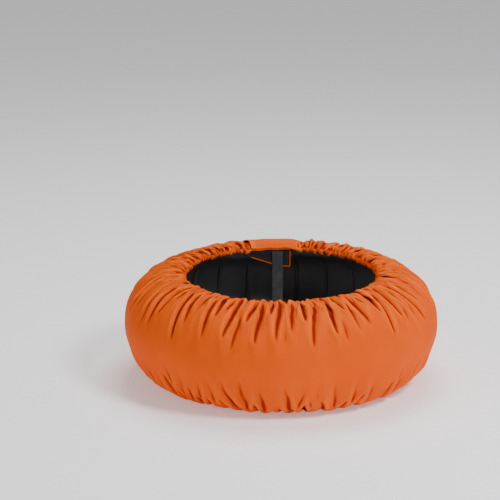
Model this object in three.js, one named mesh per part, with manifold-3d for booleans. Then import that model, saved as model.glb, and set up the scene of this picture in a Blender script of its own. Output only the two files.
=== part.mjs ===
// A warmer for the rear tyre of a motorcycle, in the shape it takes on a 17 inch wheel that lies flat.
// It is a long strip of gathered cloth, closed into a ring by a flap. Inside the cloth it has a padded
// belt with a heating wire, and a lining. Millimetres, +Z up, origin under the middle of the ring.
import * as THREE from "three";
import Module from "manifold-3d";
import { mergeVertices } from "three/addons/utils/BufferGeometryUtils.js";

// Driving dimensions of the ring.
const TREAD_RADIUS = 340;
const MOUTH_RADIUS = 210;
const CREST_RADIUS = 225;
const HEIGHT = 240;
const FULLNESS = 2.3; // 2 is an ellipse, and more is a squarer section
const FLOOR_PRESS = 3; // how far the underside is pressed flat
const HEM_TOP = 233;

// Thickness of each layer, and the air left between two layers.
const CLOTH = 1.5;
const FELT = 8;
const LINING = 1.2;
const TAPE = 1.5;
const AIR = 0.5;
const FELT_AIR = 0.7;
const WIRE_AIR = 1.6; // each side of the heating wire, where the felt and the lining have flat facets

// The closure at the back. Angles are in degrees round +Z, and the strip runs from its tongue to its flap.
const TONGUE_END = 84.5;
const OVERLAP = 24.3;
const FLAP_END = TONGUE_END + 360 + OVERLAP;
const TONGUE_CLEAR = TONGUE_END + OVERLAP + 1;
const RAMP = 8;
const RECESS = CLOTH + 2 * TAPE + 3 * AIR; // the tongue lies this far under the flap
const GATHER_START = TONGUE_CLEAR + RAMP;
const GATHER_END = TONGUE_END + 360 - RAMP;

// Gathers: each fold has two columns of points, one out and one in.
const FOLDS = 48;
const HEM_PUCKER = 1.2;
const HEM_RADIUS = 7;
const FLAT_HEM_RADIUS = 2.4;
const ELASTIC_RADIUS = 3;

// The heating wire and the small parts on it.
const WIRE_RADIUS = 1.5;
const HEATER_START = 137;
const HEATER_END = 438;
const WAVES = 12;
const WAVE_REACH = 40; // degrees of the section, each way from the tread's middle
const RETURN_RUN = 47;
const SPLICE_ANGLE = 136;
const SPLICE_RADIUS = 2.2;
const LEAD_TURN = -4;
const RETURN_TURN = 4;
const GLAND_ANGLE = 125;
const GLAND_NECK = 6;
const GLAND_FLANGE = 12;
const GLAND_COLLAR = 9;
const GLAND_BORE = 3.6;
const CORE_RADIUS = 1.1;
const WINDOW_ANGLE = 129.5;
const WINDOW_ROUND = 106;
const WINDOW_TALL = 56;

// The closing strap and the tongue's hanging edge.
const STRAP_WIDTH = 25;
const STRAP_THICK = 1.6;
const STRAP_ANGLE = 92.2;
const TONGUE_SETBACK = 6; // how much wider the mouth is at the tongue than at the flap
const PIPING_RADIUS = 1.4;

const { degToRad, smoothstep, lerp } = THREE.MathUtils;
const wasm = await Module();
wasm.setup();

const finishes = {
  cover_cloth: { color: 0xd9601f, roughness: 0.8, metalness: 0 },
  black_lining: { color: 0x17171a, roughness: 0.85, metalness: 0 },
  grey_felt: { color: 0x8d8a84, roughness: 1, metalness: 0 },
  red_silicone: { color: 0x8e2b20, roughness: 0.5, metalness: 0 },
  white_elastic: { color: 0xd8d4cb, roughness: 0.9, metalness: 0 },
  grey_webbing: { color: 0x3f4443, roughness: 0.8, metalness: 0 },
  black_tape: { color: 0x1c1c1c, roughness: 1, metalness: 0 },
  black_rubber: { color: 0x141414, roughness: 0.6, metalness: 0 },
  tinned_metal: { color: 0xb8b5ae, roughness: 0.35, metalness: 1 },
};
const warmer = new THREE.Group();

function add(name, finish, geometry) {
  const mesh = new THREE.Mesh(geometry, new THREE.MeshStandardMaterial(finishes[finish]));
  mesh.name = name;
  warmer.add(mesh);
  return mesh;
}

// A point at a radius, a height and an angle round the ring.
function at(r, z, angle) {
  return new THREE.Vector3(r * Math.cos(degToRad(angle)), r * Math.sin(degToRad(angle)), z);
}

// A closed solid through rings of points. Each ring is an even loop: its first half is one side and its
// second half is the other side walked back, so each end is closed by a strip between the two.
function loft(rings) {
  const around = rings[0].length;
  const positions = rings.flat().flatMap((p) => [p.x, p.y, p.z]);
  const faces = [];
  const quad = (a, b, c, d) => faces.push(a, b, c, a, c, d);
  for (let i = 0; i + 1 < rings.length; i++) {
    for (let k = 0; k < around; k++) {
      const next = (k + 1) % around;
      quad(i * around + k, i * around + next, (i + 1) * around + next, (i + 1) * around + k);
    }
  }
  const last = (rings.length - 1) * around;
  for (let k = 0; k + 1 < around / 2; k++) {
    quad(k, around - 1 - k, around - 2 - k, k + 1);
    quad(last + k, last + k + 1, last + around - 2 - k, last + around - 1 - k);
  }
  const geometry = new THREE.BufferGeometry();
  geometry.setAttribute("position", new THREE.Float32BufferAttribute(positions, 3));
  geometry.setIndex(signedVolume(positions, faces) < 0 ? faces.reverse() : faces);
  return geometry;
}

function signedVolume(positions, faces) {
  const corner = (i) => new THREE.Vector3().fromArray(positions, 3 * i);
  let volume = 0;
  for (let i = 0; i < faces.length; i += 3) {
    volume += corner(faces[i]).dot(corner(faces[i + 1]).cross(corner(faces[i + 2])));
  }
  return volume / 6;
}

function toSolid(geometry) {
  const bare = geometry.index ? geometry.toNonIndexed() : geometry.clone();
  const points = new THREE.BufferGeometry().setAttribute("position", bare.getAttribute("position"));
  const merged = mergeVertices(points, 1e-3);
  const mesh = { numProp: 3, vertProperties: merged.attributes.position.array };
  mesh.triVerts = new Uint32Array(merged.index.array);
  return new wasm.Manifold(new wasm.Mesh(mesh));
}

function toGeometry(solid) {
  const mesh = solid.getMesh();
  const geometry = new THREE.BufferGeometry();
  geometry.setAttribute("position", new THREE.BufferAttribute(mesh.vertProperties, 3));
  return geometry.setIndex(new THREE.BufferAttribute(mesh.triVerts, 1));
}

// Evenly spaced numbers from start to end, both included.
function spread(start, end, count) {
  return Array.from({ length: count }, (_, i) => lerp(start, end, i / (count - 1)));
}

// A point of the ring's section and its outward normal. Turn 0 is the tread's middle and 90 is the crest.
function section(turn) {
  const c = Math.cos(degToRad(turn));
  const s = Math.sin(degToRad(turn));
  const reach = TREAD_RADIUS - CREST_RADIUS;
  const rise = HEIGHT / 2 + (s < 0 ? FLOOR_PRESS : 0);
  const across = c ** (2 / FULLNESS);
  const up = Math.sign(s) * Math.abs(s) ** (2 / FULLNESS);
  const normal = new THREE.Vector2(
    across ** (FULLNESS - 1) / reach,
    (Math.sign(s) * Math.abs(up) ** (FULLNESS - 1)) / rise,
  ).normalize();
  return { r: CREST_RADIUS + reach * across, z: HEIGHT / 2 + rise * up, nr: normal.x, nz: normal.y };
}

// How deep the gathers are at a turn of the section: none round the tread, and most at the crest.
function gatherDepth(turn) {
  const skirt = smoothstep(Math.abs(turn), 4, 66);
  return turn > 0 ? 7.5 * skirt : 4.5 * skirt;
}

// Where the underside leaves the floor.
const FLOOR_TURN = -76.4;
const floorEdge = { ...section(FLOOR_TURN), z: 0, nr: 0, nz: -1, depth: 0 };
const coverStations = [85, 66, 50, 34, 17, 0, -17, -34, -50, -64]
  .map((turn) => ({ ...section(turn), depth: gatherDepth(turn) }))
  .concat([floorEdge]);

// 1 on the tongue, 0 on the rest of the strip, and a ramp between the two.
function tongueShare(angle) {
  return 1 - smoothstep(angle, TONGUE_CLEAR, TONGUE_CLEAR + RAMP);
}

// 1 where the strip is gathered, and 0 on the tongue and on the flap.
function gathered(angle) {
  return (
    smoothstep(angle, TONGUE_CLEAR, TONGUE_CLEAR + RAMP) *
    (1 - smoothstep(angle, GATHER_END, GATHER_END + RAMP - 1))
  );
}

// The cover's columns: a few on the tongue and on the flap, and uneven ones through the gathers.
function coverColumns() {
  const step = (GATHER_END - GATHER_START) / (2 * FOLDS);
  const columns = spread(TONGUE_END, TONGUE_CLEAR, 9).map((angle) => ({ angle, fold: 0, pucker: 0 }));
  columns.push({ angle: TONGUE_CLEAR + RAMP / 2, fold: 0.4, pucker: 0.5 });
  for (let i = 0; i <= 2 * FOLDS; i++) {
    const drift = 0.26 * step * Math.sin(i * 2.4) + 0.14 * step * Math.sin(i * 0.71);
    const deep = 0.82 + 0.18 * Math.sin(i * 1.9);
    columns.push({
      angle: GATHER_START + i * step + drift,
      fold: (i % 2) * deep,
      pucker: i % 2,
      reach: 0.6 + 0.4 * Math.sin(i * 1.3),
    });
  }
  for (const angle of spread(GATHER_END + RAMP / 2, FLAP_END, 11)) {
    columns.push({ angle, fold: 0, pucker: 0 });
  }
  return columns;
}

const TOP_HEM_ANGLES = [-50, -120, -190, -260];
const BOTTOM_HEM_ANGLES = [-90, -180, -275];

// One loop of the cover: hem, skirt, tread, skirt and hem on the outside, then the same on the inside.
function coverRing(column) {
  const { angle, fold, pucker, reach = 1 } = column;
  const gather = gathered(angle);
  const recess = RECESS * tongueShare(angle);
  const hem = lerp(FLAT_HEM_RADIUS, HEM_RADIUS, gather);
  const mouth = MOUTH_RADIUS + TONGUE_SETBACK * tongueShare(angle);
  const outer = [];
  const inner = [];
  const hemPoint = (turn, middle, rise) => {
    const c = Math.cos(degToRad(turn));
    const s = Math.sin(degToRad(turn));
    const fold = hem - CLOTH;
    outer.push(at(mouth + hem + hem * c, middle + hem * s + rise, angle));
    inner.push(at(mouth + hem + fold * c, middle + fold * s + rise, angle));
  };
  for (const turn of TOP_HEM_ANGLES) {
    hemPoint(turn, HEM_TOP - hem, -recess - HEM_PUCKER * pucker * gather);
  }
  for (const { r, z, nr, nz, depth } of coverStations) {
    const faded = depth * lerp(reach, 1, Math.min(1, depth / 6));
    const inset = recess + faded * gather * (0.75 * fold + 0.25 * pucker);
    outer.push(at(r - nr * inset, z - nz * inset, angle));
    inner.push(at(r - nr * (inset + CLOTH), z - nz * (inset + CLOTH), angle));
  }
  for (const turn of BOTTOM_HEM_ANGLES) {
    hemPoint(turn, hem, recess);
  }
  return outer.concat(inner.reverse());
}

// A strip that follows the section between two insets, over a list of angles and a list of turns.
function strip(angles, turns, insetOuter, insetInner) {
  const rings = angles.map((angle) => {
    const recess = RECESS * tongueShare(angle);
    const side = (inset) =>
      turns.map((turn) => {
        const { r, z, nr, nz } = section(turn);
        const depth = inset(turn) + recess;
        return at(r - nr * depth, z - nz * depth, angle);
      });
    return side(insetOuter).concat(side(insetInner).reverse());
  });
  return loft(rings);
}

// How far each layer of the belt lies inside the cover's outer face.
const underCover = (turn) => CLOTH + gatherDepth(turn) + FELT_AIR;
const wireInset = (turn) => underCover(turn) + FELT + WIRE_AIR + WIRE_RADIUS;
function liningInset(turn) {
  const belt = 1 - smoothstep(Math.abs(turn), 52, 66);
  const press = turn < 0 ? FLOOR_PRESS * smoothstep(-turn, 40, 76) : 0;
  return underCover(turn) + AIR + belt * (FELT + 2 * WIRE_RADIUS + 2 * WIRE_AIR) + press;
}

// A round wire through points of the ring, each a radius, a height and an angle.
function wire(points, radius, sides) {
  const path = points.map(([r, z, angle]) => at(r, z, angle));
  const rings = path.map((point, i) => {
    const along = path[Math.min(i + 1, path.length - 1)].clone().sub(path[Math.max(i - 1, 0)]);
    const out = new THREE.Vector3(point.x, point.y, 0);
    out.addScaledVector(along, -out.dot(along) / along.lengthSq()).normalize();
    const side = along.normalize().cross(out);
    return spread(0, 360 - 360 / sides, sides).map((turn) =>
      point
        .clone()
        .addScaledVector(out, radius * Math.cos(degToRad(turn)))
        .addScaledVector(side, radius * Math.sin(degToRad(turn))),
    );
  });
  return loft(rings);
}

function wirePoint(turn, angle) {
  const { r, z, nr, nz } = section(turn);
  const inset = wireInset(turn) + RECESS * tongueShare(angle);
  return [r - nr * inset, z - nz * inset, angle];
}

// The heating wire zigzags across the belt all the way round, then runs back along the top edge. Each
// corner of the route is a turn of the section and an angle.
function heatingPath() {
  const run = (HEATER_END - HEATER_START) / (2 * WAVES);
  const corners = [[LEAD_TURN, SPLICE_ANGLE + 1.8], [-17, HEATER_START + 1.9]];
  for (let i = 0; i < 2 * WAVES; i++) {
    const up = i % 2 === 0 ? 1 : -1;
    const middle = HEATER_START + (i + 0.5) * run;
    corners.push([-34 * up, middle - run * 0.08], [34 * up, middle + run * 0.08]);
    corners.push([WAVE_REACH * up, middle + run * 0.28], [WAVE_REACH * up, middle + run * 0.72]);
  }
  // The last run ends low, so the wire climbs past it to the return run.
  corners.pop();
  corners.push([-34, HEATER_END + 0.8], [0, HEATER_END + 1.6], [34, HEATER_END + 1.6]);
  for (const angle of spread(HEATER_END, HEATER_START + 3, 48)) {
    corners.push([RETURN_RUN, angle]);
  }
  corners.push([34, HEATER_START + 1.6], [RETURN_TURN, SPLICE_ANGLE + 1.8]);
  return corners.flatMap(([turn, angle], i) => {
    const [fromTurn, fromAngle] = corners[Math.max(i - 1, 0)];
    const steps = Math.max(1, Math.round(Math.abs(turn - fromTurn) / 17));
    return spread(0, 1, steps + 1)
      .slice(1)
      .map((share) => wirePoint(lerp(fromTurn, turn, share), lerp(fromAngle, angle, share)));
  });
}

// A ring of cord in a hem, from one side of the closure to the other.
function elasticCord(z) {
  const points = spread(GATHER_START + 1, GATHER_END - 1, 40).map((angle) => [
    MOUTH_RADIUS + HEM_RADIUS,
    z,
    angle,
  ]);
  return wire(points, ELASTIC_RADIUS, 4);
}

// A turned piece on the gland's axis, which points out of the tread. Each profile point is a radius
// and a distance from the tread's face.
function turned(profile, segments) {
  const closed = [...profile, profile[0]].map(([r, out]) => new THREE.Vector2(r, out));
  const geometry = new THREE.LatheGeometry(closed, segments);
  geometry.rotateZ(-Math.PI / 2);
  geometry.translate(TREAD_RADIUS, 0, 0);
  geometry.rotateZ(degToRad(GLAND_ANGLE));
  geometry.translate(0, 0, HEIGHT / 2);
  return geometry;
}

// A box that sits on the belt, with its middle at a radius, a height and an angle.
function beltBox(around, deep, tall, r, z, angle) {
  const geometry = new THREE.BoxGeometry(deep, around, tall);
  geometry.translate(r, 0, 0);
  geometry.rotateZ(degToRad(angle));
  geometry.translate(0, 0, z);
  return geometry;
}

// A flat piece as wide as the strap, along points of the section at the strap's angle. Each point is a
// radius and a height, and the piece lies with its middle on them.
function band(points, thick, width) {
  const round = at(1, 0, STRAP_ANGLE + 90).multiplyScalar(width / 2);
  const path = points.map(([r, z]) => at(r, z, STRAP_ANGLE));
  const rings = path.map((point, i) => {
    const along = path[Math.min(i + 1, path.length - 1)].clone().sub(path[Math.max(i - 1, 0)]);
    const up = along.normalize().cross(round).normalize().multiplyScalar(thick / 2);
    const corner = (a, b) => point.clone().addScaledVector(round, a).addScaledVector(up, b);
    return [corner(1, 1), corner(-1, 1), corner(-1, -1), corner(1, -1)];
  });
  return loft(rings);
}

// The cover, with the hole that the cable gland sits in.
const glandHole = toSolid(turned([[0, -40], [GLAND_NECK + AIR, -40], [GLAND_NECK + AIR, 20], [0, 20]], 16));
const cover = toSolid(loft(coverColumns().map(coverRing)));
add("outer_cover", "cover_cloth", toGeometry(cover.subtract(glandHole)));

// The belt: felt with a window for the joints of the lead, then the wire, then the lining.
const BELT_ANGLES = [
  ...spread(TONGUE_END + 1, TONGUE_CLEAR, 5),
  TONGUE_CLEAR + RAMP / 2,
  ...spread(GATHER_START, TONGUE_END + 358, 51),
];
const BELT_TURNS = [50, 34, 17, 0, -17, -34, -50];
const felt = toSolid(strip(BELT_ANGLES, BELT_TURNS, underCover, (turn) => underCover(turn) + FELT));
const windowBox = toSolid(
  beltBox(WINDOW_ROUND, 60, WINDOW_TALL, TREAD_RADIUS - 10, HEIGHT / 2, WINDOW_ANGLE),
);
add("felt_insulation", "grey_felt", toGeometry(felt.subtract(windowBox)));
add("heating_wire", "red_silicone", wire(heatingPath(), WIRE_RADIUS, 4));
const LINING_ANGLES = [...BELT_ANGLES.slice(0, 6), ...spread(GATHER_START, TONGUE_END + 358, 34)];
const LINING_TURNS = [89, 85, 66, 50, 25, 0, -25, -50, -64, FLOOR_TURN, -89];
const liningInside = (turn) => liningInset(turn) + LINING;
add("inner_lining", "black_lining", strip(LINING_ANGLES, LINING_TURNS, liningInset, liningInside));

// The elastic cords that draw the two mouths in.
add("top_elastic", "white_elastic", elasticCord(HEM_TOP - HEM_RADIUS - HEM_PUCKER / 2));
add("bottom_elastic", "white_elastic", elasticCord(HEM_RADIUS));

// The gland, and the joints of the lead behind it.
const COLLAR_TOP = -4.6;
const glandProfile = [
  [GLAND_BORE, COLLAR_TOP - 2],
  [GLAND_COLLAR - 1, COLLAR_TOP - 2],
  [GLAND_COLLAR, COLLAR_TOP],
  [GLAND_NECK, COLLAR_TOP],
  [GLAND_NECK, AIR],
  [GLAND_FLANGE, AIR],
  [GLAND_FLANGE - 1, 1.8],
  [GLAND_BORE + 2, 4.4],
  [GLAND_BORE, 4.4],
];
add("cable_gland", "black_rubber", turned(glandProfile, 20));
const washerProfile = [
  [GLAND_NECK + AIR, COLLAR_TOP + AIR],
  [GLAND_FLANGE - 1, COLLAR_TOP + AIR],
  [GLAND_FLANGE - 1, COLLAR_TOP + AIR + 0.8],
  [GLAND_NECK + AIR, COLLAR_TOP + AIR + 0.8],
];
add("gland_washer", "tinned_metal", turned(washerProfile, 20));
const [, leadZ] = wirePoint(LEAD_TURN, SPLICE_ANGLE);
const [jointRadius, returnZ] = wirePoint(RETURN_TURN, SPLICE_ANGLE);
const spliceSpan = 1.3;
const coreEnd = SPLICE_ANGLE - spliceSpan - 0.2;
for (const [name, z] of [["live_splice", leadZ], ["neutral_splice", returnZ]]) {
  const ends = [SPLICE_ANGLE - spliceSpan, SPLICE_ANGLE + spliceSpan];
  add(name, "tinned_metal", wire(ends.map((angle) => [jointRadius, z, angle]), SPLICE_RADIUS, 8));
}
const THERMOSTAT_ANGLE = 130;
const THERMOSTAT_ROUND = 16;
add(
  "thermostat",
  "tinned_metal",
  beltBox(THERMOSTAT_ROUND, 4.5, 7, jointRadius + 1, leadZ, THERMOSTAT_ANGLE),
);
const thermostatHalf = THREE.MathUtils.radToDeg(THERMOSTAT_ROUND / 2 / jointRadius) + 0.1;
const middle = HEIGHT / 2;
const liveCore = [
  [TREAD_RADIUS - 4, middle - 1.6, GLAND_ANGLE],
  [TREAD_RADIUS - 7.5, middle - 2, GLAND_ANGLE + 0.1],
  [jointRadius + 2, middle - 5, GLAND_ANGLE + 0.8],
  [jointRadius + 1, leadZ + 1, GLAND_ANGLE + 2.2],
  [jointRadius + 1, leadZ, THERMOSTAT_ANGLE - thermostatHalf],
];
const neutralCore = [
  [TREAD_RADIUS - 4, middle + 1.6, GLAND_ANGLE],
  [TREAD_RADIUS - 7.5, middle + 2, GLAND_ANGLE + 0.1],
  [jointRadius + 2, middle + 5, GLAND_ANGLE + 0.8],
  [jointRadius, returnZ - 1, GLAND_ANGLE + 2.4],
  [jointRadius, returnZ, GLAND_ANGLE + 4],
  [jointRadius, returnZ, coreEnd],
];
const thermostatCore = [
  [jointRadius + 1, leadZ, THERMOSTAT_ANGLE + thermostatHalf],
  [jointRadius, leadZ, coreEnd],
];
add("live_core", "red_silicone", wire(liveCore, CORE_RADIUS, 6));
add("thermostat_core", "red_silicone", wire(thermostatCore, CORE_RADIUS, 6));
add("neutral_core", "red_silicone", wire(neutralCore, CORE_RADIUS, 6));

// Hook tape under the flap and loop tape on the tongue, from one skirt round the tread to the other.
const TAPE_TURNS = [66, 50, 34, 17, 0, -17, -34, -50, -64];
const tapeEdge = FLAP_END - 1.5;
const hookAngles = spread(tapeEdge - 9, tapeEdge, 4);
const loopAngles = hookAngles.map((angle) => angle - 360);
const hookTape = strip(hookAngles, TAPE_TURNS, () => CLOTH + AIR, () => CLOTH + AIR + TAPE);
const loopTape = strip(loopAngles, TAPE_TURNS, () => -AIR - TAPE, () => -AIR);
add("hook_tape", "black_tape", hookTape);
add("loop_tape", "black_tape", loopTape);

// The tongue's edge that hangs into the mouth: its lining, and piping along the free edges.
const TONGUE_SHEET_RADIUS = MOUTH_RADIUS + TONGUE_SETBACK - AIR - LINING / 2;
const TONGUE_SHEET_TOP = HEM_TOP - 2 * FLAT_HEM_RADIUS - AIR;
const TONGUE_LEFT = TONGUE_END + OVERLAP;
const TONGUE_CORNERS = [
  [TONGUE_LEFT, 217],
  [94, 197],
  [88.5, 193.5],
  [TONGUE_END + 0.4, 193],
];
function tongueBottom(angle) {
  const next = Math.max(1, TONGUE_CORNERS.findIndex(([corner]) => corner <= angle + 1e-6));
  const [a, za] = TONGUE_CORNERS[next - 1];
  const [b, zb] = TONGUE_CORNERS[next];
  return lerp(za, zb, (angle - a) / (b - a));
}
const tongueAngles = [...spread(TONGUE_LEFT, 94, 7), 91.2, 88.5, TONGUE_END + 0.4];
const tongueRings = tongueAngles.map((angle) => {
  const front = TONGUE_SHEET_RADIUS - LINING / 2;
  const back = TONGUE_SHEET_RADIUS + LINING / 2;
  const low = tongueBottom(angle);
  const corners = [[back, TONGUE_SHEET_TOP], [back, low], [front, low], [front, TONGUE_SHEET_TOP]];
  return corners.map(([r, z]) => at(r, z, angle));
});
add("tongue_lining", "black_lining", loft(tongueRings));
const pipingDrop = PIPING_RADIUS + AIR;
const pipingRing = MOUTH_RADIUS + TONGUE_SETBACK - pipingDrop;
const pipingCorner = tongueBottom(TONGUE_END + 0.4);
const pipingAngle = TONGUE_END + 0.4 - THREE.MathUtils.radToDeg(pipingDrop / pipingRing);
const pipingPath = tongueAngles.map((angle) => [pipingRing, tongueBottom(angle) - pipingDrop, angle]);
pipingPath.push([pipingRing, pipingCorner - pipingDrop * 0.6, pipingAngle + 0.1]);
pipingPath.push([pipingRing, pipingCorner + 2, pipingAngle]);
pipingPath.push([pipingRing, TONGUE_SHEET_TOP, pipingAngle]);
add("tongue_piping", "cover_cloth", wire(pipingPath, PIPING_RADIUS, 6));

// The closing strap: sewn to the tongue at the top, it drops through the ring to the lower skirt, where
// hook and loop patches hold it.
const PATCH_THICK = 1.2;
const strapBow = 0.5; // a flat strap stands this far off the round edge behind it
const strapRadius = pipingRing - PIPING_RADIUS - AIR - strapBow - STRAP_THICK / 2;
const skirtFace = [-89, FLOOR_TURN].map((turn) => {
  const { r, z, nr, nz } = section(turn);
  const inset = liningInside(turn) + RECESS;
  return [r - nr * inset, z - nz * inset];
});
// A point over the lower skirt's lining: a share of the way out along it, and a height above it.
function overSkirt(share, lift) {
  const [[r0, z0], [r1, z1]] = skirtFace;
  return [lerp(r0, r1, share), lerp(z0, z1, share) + lift];
}
const strapLift = 2 * (PATCH_THICK + AIR) + AIR + STRAP_THICK / 2;
const strapPath = [
  [strapRadius, TONGUE_SHEET_TOP - 1],
  [strapRadius, 204],
  [strapRadius - 1.5, 180],
  [strapRadius - 4, 140],
  [strapRadius - 4.5, 100],
  [strapRadius - 3, 60],
  [strapRadius - 1, 38],
  [strapRadius + 3, 27],
  [strapRadius + 9, 21.5],
  overSkirt(0.05, strapLift),
  overSkirt(0.98, strapLift),
];
add("closing_strap", "grey_webbing", band(strapPath, STRAP_THICK, STRAP_WIDTH));
for (const [name, level] of [["strap_loop_patch", 0], ["strap_hook_patch", 1]]) {
  const lift = AIR + level * (PATCH_THICK + AIR) + PATCH_THICK / 2;
  const ends = [overSkirt(0.1, lift), overSkirt(0.92, lift)];
  add(name, "black_tape", band(ends, PATCH_THICK, STRAP_WIDTH - 1));
}

export default warmer;
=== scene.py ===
# %% [markdown]
# A motorcycle tire warmer
#
# A tire warmer is a long quilted strip that its user closes into a ring.
# Outside is a bright woven cover, inside are felt, a heating wire and a black
# lining, and an elastic in each long edge gathers both edges to a smaller ring.
# The flap's end closes over the black tongue with touch tape.
# Lengths are in metres. The floor is at height zero, and the ring's axis is Z.

import bpy
import math
import time
import numpy as np
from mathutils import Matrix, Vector


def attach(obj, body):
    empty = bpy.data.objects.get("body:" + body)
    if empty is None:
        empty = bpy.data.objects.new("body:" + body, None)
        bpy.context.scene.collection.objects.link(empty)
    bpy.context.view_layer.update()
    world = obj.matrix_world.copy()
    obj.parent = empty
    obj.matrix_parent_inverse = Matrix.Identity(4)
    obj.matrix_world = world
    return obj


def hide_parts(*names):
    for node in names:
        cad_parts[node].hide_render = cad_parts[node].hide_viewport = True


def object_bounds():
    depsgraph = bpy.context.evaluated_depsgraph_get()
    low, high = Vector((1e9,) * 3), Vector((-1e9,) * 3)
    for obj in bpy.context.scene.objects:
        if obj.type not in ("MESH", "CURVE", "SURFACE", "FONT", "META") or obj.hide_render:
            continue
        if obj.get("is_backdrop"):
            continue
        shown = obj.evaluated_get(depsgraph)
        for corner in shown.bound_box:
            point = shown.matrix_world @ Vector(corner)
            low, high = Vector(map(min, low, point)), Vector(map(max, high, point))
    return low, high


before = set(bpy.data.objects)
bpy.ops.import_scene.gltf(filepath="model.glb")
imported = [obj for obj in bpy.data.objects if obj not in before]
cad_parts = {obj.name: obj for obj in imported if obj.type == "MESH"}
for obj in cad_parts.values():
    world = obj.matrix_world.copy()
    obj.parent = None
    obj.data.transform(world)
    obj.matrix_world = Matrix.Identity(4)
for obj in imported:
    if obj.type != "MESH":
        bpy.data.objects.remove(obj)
cad_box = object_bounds()
print("CAD box:", cad_box)

# %% [markdown]
# The warmer's own sizes come first, because every later cell builds on them.
# A point on the ring is told by its angle, counted from +X towards +Y, and by its
# turn round the section: 90 degrees is the top, 0 is the tread, -90 the floor.

# %% Sizes
TREAD = 0.340
MOUTH = 0.210
CREST = 0.225
HEIGHT = 0.240
FULLNESS = 2.3
PRESS = 0.003
HEM_TOP = 0.233
TONGUE_END, OVERLAP, RAMP = 84.5, 24.3, 8.0
TURN = 2 * np.pi


def smooth(x, start, end):
    t = np.clip((x - start) / (end - start), 0, 1)
    return t * t * (3 - 2 * t)


def section(turn, puff=0.0, low=FULLNESS):
    """Radius, height and outward direction of the full section at a turn in degrees."""
    t = np.radians(turn)
    c, s = np.cos(t), np.sin(t)
    full = np.where(s < 0, low, FULLNESS)
    reach = TREAD - CREST
    rise = HEIGHT / 2 + np.where(s < 0, PRESS, puff)
    across = np.abs(c) ** (2 / full)
    up = np.sign(s) * np.abs(s) ** (2 / full)
    nr = across ** (full - 1) / reach
    nz = np.sign(s) * np.abs(up) ** (full - 1) / rise
    size = np.hypot(nr, nz)
    return CREST + reach * across, HEIGHT / 2 + rise * up, nr / size, nz / size


# %% [markdown]
# The camera looks down at the ring by 17.1 degrees from far away, through a long
# lens, so the ring shows little perspective. Where the ring stands in the frame is
# given in pixels of a picture 500 wide, from its left and upper edge.

# %% Camera
PICTURE = 500
FOCUS = 2009
DISTANCE = 4.5
RING_AT = (281, 322)
camera = bpy.data.objects.new("camera", bpy.data.cameras.new("camera"))
bpy.context.scene.collection.objects.link(camera)
camera.data.sensor_width = 36
camera.data.lens = FOCUS / PICTURE * camera.data.sensor_width
down = math.radians(17.1)
middle = Vector((0, 0, 0.12))
camera.location = middle + DISTANCE * Vector((0, -math.cos(down), math.sin(down)))
ahead = (middle - camera.location).normalized()
right = Vector((1, 0, 0))
above = right.cross(ahead)
aside, below = (place - PICTURE / 2 for place in RING_AT)
aim = ahead - right * aside / FOCUS + above * below / FOCUS
camera.rotation_euler = aim.to_track_quat("-Z", "Y").to_euler()
bpy.context.scene.camera = camera
print("camera at", tuple(round(part, 3) for part in camera.location))

# %% [markdown]
# The studio is plain: a pale floor that runs far back, a soft white sky, and three
# large lamps. The key is high on the right, a weak fill stands low on the left, and
# the third hangs above and behind, where it picks out the rim.

# %% Floor and lights
def area(name, place, size, power, look_at=(0, 0, 0.1)):
    lamp = bpy.data.objects.new(name, bpy.data.lights.new(name, "AREA"))
    lamp.data.size, lamp.data.energy = size, power
    lamp.location = place
    lamp.rotation_euler = (Vector(look_at) - Vector(place)).to_track_quat("-Z", "Y").to_euler()
    bpy.context.scene.collection.objects.link(lamp)


area("key lamp", (1.5, -1.3, 2.3), 0.7, 68)
area("fill lamp", (-2.2, -1.4, 1.0), 1.4, 13)
area("top lamp", (0.2, 0.9, 2.9), 1.6, 58)
sky = bpy.data.worlds.new("studio")
bpy.context.scene.world = sky
sky.use_nodes = True
sky.node_tree.nodes["Background"].inputs["Color"].default_value = (1, 1, 1, 1)
sky.node_tree.nodes["Background"].inputs["Strength"].default_value = 0.25


def mesh_piece(name, points, faces, uv=None):
    """A new object whose mesh holds these points and faces, with a UV for each point."""
    mesh = bpy.data.meshes.new(name)
    mesh.from_pydata([tuple(map(float, p)) for p in points], [], [tuple(map(int, f)) for f in faces])
    mesh.shade_smooth()
    if uv is not None:
        layer = mesh.uv_layers.new(name="strip")
        corner = np.empty(len(mesh.loops), dtype=np.int32)
        mesh.loops.foreach_get("vertex_index", corner)
        layer.uv.foreach_set("vector", np.asarray(uv, dtype=np.float32)[corner].ravel())
    piece = bpy.data.objects.new(name, mesh)
    bpy.context.scene.collection.objects.link(piece)
    print(name, "has", len(points), "points and", len(faces), "faces")
    return piece


floor = mesh_piece("floor", [(-9, -9, 0), (9, -9, 0), (9, 20, 0), (-9, 20, 0)], [(0, 1, 2, 3)])
floor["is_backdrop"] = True

# %% [markdown]
# Every finish below is a small tree of shader nodes. This class lets the tree be
# written as sums: a socket wrapped in it can be added, scaled or compared, and each
# sign adds one Math node. Any other node comes from its add method.


# %% A helper for shader maths
class Wire:
    """A number that a node gives. Arithmetic on it adds Math nodes."""

    def __init__(self, paint, socket):
        self.paint, self.socket = paint, socket

    def maths(self, operation, *values):
        return self.paint.add("ShaderNodeMath", {"operation": operation}, *values)

    def __add__(self, other):
        return self.maths("ADD", self, other)

    def __sub__(self, other):
        return self.maths("SUBTRACT", self, other)

    def __rsub__(self, other):
        return self.maths("SUBTRACT", other, self)

    def __mul__(self, other):
        return self.maths("MULTIPLY", self, other)

    __radd__, __rmul__ = __add__, __mul__

    def wave(self):
        return self.maths("SINE", self)

    def size(self):
        return self.maths("ABSOLUTE", self)

    def ramp(self, low, high, start=0.0, end=1.0):
        """From start to end while the number goes from low to high, and flat outside."""
        return self.paint.add(
            "ShaderNodeMapRange", {"interpolation_type": "SMOOTHSTEP"}, self, low, high, start, end)


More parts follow.
